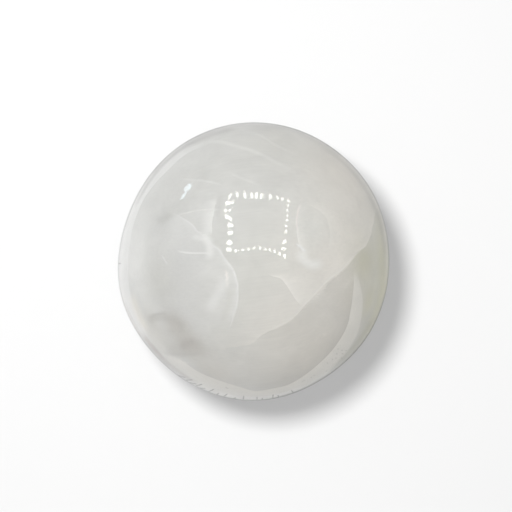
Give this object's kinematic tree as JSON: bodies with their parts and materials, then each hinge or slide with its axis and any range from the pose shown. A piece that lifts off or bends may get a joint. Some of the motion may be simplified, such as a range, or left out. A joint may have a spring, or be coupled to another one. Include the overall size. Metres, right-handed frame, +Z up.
{
  "type": "selenite sphere",
  "caption": "Polished, slightly out-of-round ball of pale, milky, see-through selenite with inner veils, standing on a small ground flat.",
  "frame": {"origin": "middle of the stone's box, on the plane of the ground flat that it stands on", "axes": "+Z up out of the flat; +Y along the stone's longest measure and +X along its width, as seen from straight above"},
  "size_m": [0.0594, 0.061, 0.059],
  "materials": {
    "polished_selenite": "polished, milky and partly see-through"
  },
  "bodies": {
    "root": {"selenite_sphere": "polished_selenite"}
  },
  "joints": []
}
